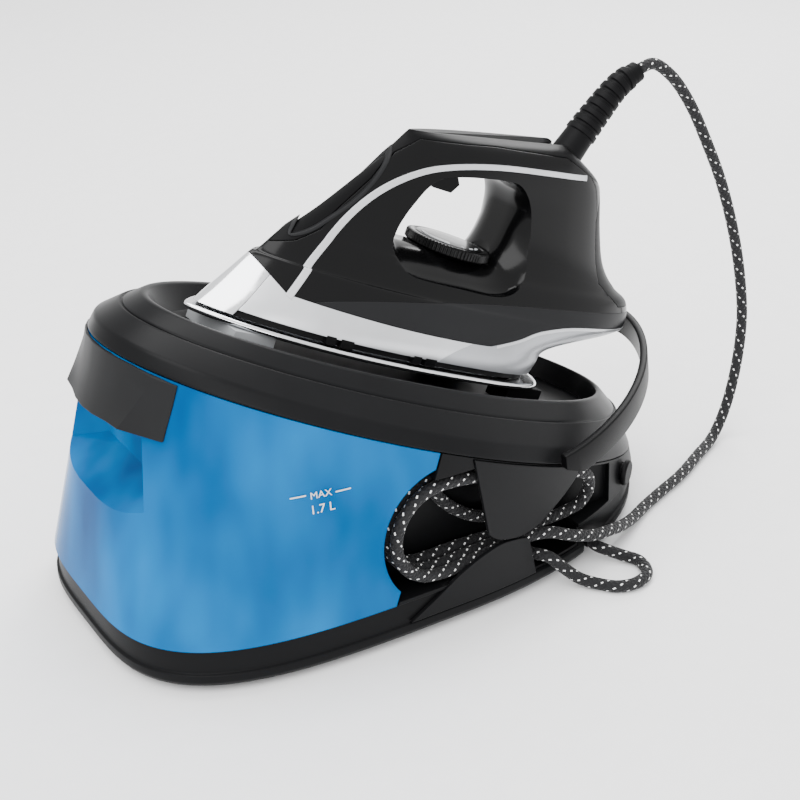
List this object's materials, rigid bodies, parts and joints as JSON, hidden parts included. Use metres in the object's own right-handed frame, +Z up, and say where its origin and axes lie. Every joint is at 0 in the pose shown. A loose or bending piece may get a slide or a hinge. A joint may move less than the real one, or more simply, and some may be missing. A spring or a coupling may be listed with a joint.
{
  "type": "steam generator iron",
  "caption": "Steam iron resting nose-up on a wedge-shaped steam station with a removable blue water tank, lock hoop and stored steam cord.",
  "frame": {"origin": "centre of the bounding box, cord left out, at the level the feet stand on", "axes": "+X from the tank handle to the lock hoop, +Z up, cord storage on the -Y side"},
  "size_m": [0.47, 0.2395, 0.2639],
  "materials": {
    "darkPlastic": "dark grey ABS, satin",
    "coverPlastic": "dark grey ABS, satin",
    "blackPlastic": "black ABS, fine satin",
    "glossBlack": "black, polished",
    "tankBlue": "clear blue, polished",
    "silver": "silver paint, satin",
    "chrome": "polished",
    "steel": "drawn stainless steel",
    "castMetal": "die cast",
    "brass": "turned",
    "rubber": "matte",
    "greyPad": "heat-proof silicone, light grey",
    "silicone": "silicone hose",
    "lens": "clear",
    "board": "coated circuit board",
    "white": "white nylon",
    "textile": "braided black textile with pale flecks"
  },
  "bodies": {
    "base": {"bottom_pan": "darkPlastic", "cord_channel": "blackPlastic", "foot_front_near": "rubber", "foot_front_far": "rubber", "foot_rear_near": "rubber", "foot_rear_far": "rubber", "rear_housing": "darkPlastic", "cover": "coverPlastic", "tray_dish": "coverPlastic", "upper_clasp": "coverPlastic", "lower_clasp": "coverPlastic", "cord_gland": "rubber", "power_inlet": "rubber", "boiler": "steel", "heater_ring": "steel", "boiler_stand": "castMetal", "boiler_thermostat": "white", "safety_valve": "brass", "pump": "white", "steam_valve": "castMetal", "tank_coupling": "brass", "circuit_board": "board", "inlet_hose": "silicone", "pump_hose": "silicone", "steam_hose": "silicone", "outlet_hose": "silicone", "control_plate": "blackPlastic", "control_lamp": "lens", "nose_rest": "greyPad", "heel_rest_near": "rubber", "heel_rest_far": "rubber", "steam_cord": "textile"},
    "tank": {"tank_shell": "tankBlue", "tank_handle": "coverPlastic", "tank_valve": "blackPlastic"},
    "iron": {"sole_plate": "chrome", "steam_chamber": "castMetal", "skirt": "silver", "nose_cap": "chrome", "iron_body": "glossBlack", "grip_cover": "blackPlastic", "rear_cover": "blackPlastic", "trim_near": "silver", "trim_far": "silver", "cord_relief": "rubber", "micro_switch": "white", "thermostat": "white"},
    "dial": {"dial": "blackPlastic"},
    "steam_trigger": {"steam_trigger": "blackPlastic"},
    "calc_cap": {"calc_cap": "blackPlastic"},
    "power_button": {"power_button": "glossBlack"},
    "eco_button": {"eco_button": "glossBlack"},
    "lock_hoop": {"lock_hoop": "coverPlastic"}
  },
  "joints": [
    {"name": "tank_slide", "type": "slide", "parent": "base", "child": "tank", "axis": [-1, 0, 0], "range_m": [0, 0.14]},
    {"name": "iron_lift", "type": "slide", "parent": "base", "child": "iron", "axis": [0, 0, 1], "range_m": [0, 0.06]},
    {"name": "hoop_swing", "type": "hinge", "parent": "base", "child": "lock_hoop", "pos_m": [0.05963, 0, 0.077], "axis": [0, 1, 0], "range_deg": [0, 14]},
    {"name": "dial_turn", "type": "hinge", "parent": "iron", "child": "dial", "pos_m": [0.04753, 0, 0.1748], "axis": [0.3872, 0, 0.922], "range_deg": [-150, 150]},
    {"name": "trigger_squeeze", "type": "hinge", "parent": "iron", "child": "steam_trigger", "pos_m": [0.03083, 0, 0.22542], "axis": [0, -1, 0], "range_deg": [0, 5], "stiffness_Nm_per_rad": 0.5, "springref_deg": -1.72},
    {"name": "cap_turn", "type": "hinge", "parent": "base", "child": "calc_cap", "pos_m": [0.13163, -0.0714, 0.0365], "axis": [0.5413, -0.8408, 0], "range_deg": [-90, 0]},
    {"name": "power_press", "type": "slide", "parent": "base", "child": "power_button", "axis": [0, -1, 0], "range_m": [0, 0.0015], "stiffness_N_per_m": 700, "springref_m": -0.001},
    {"name": "eco_press", "type": "slide", "parent": "base", "child": "eco_button", "axis": [0, -1, 0], "range_m": [0, 0.0015], "stiffness_N_per_m": 700, "springref_m": -0.001}
  ]
}
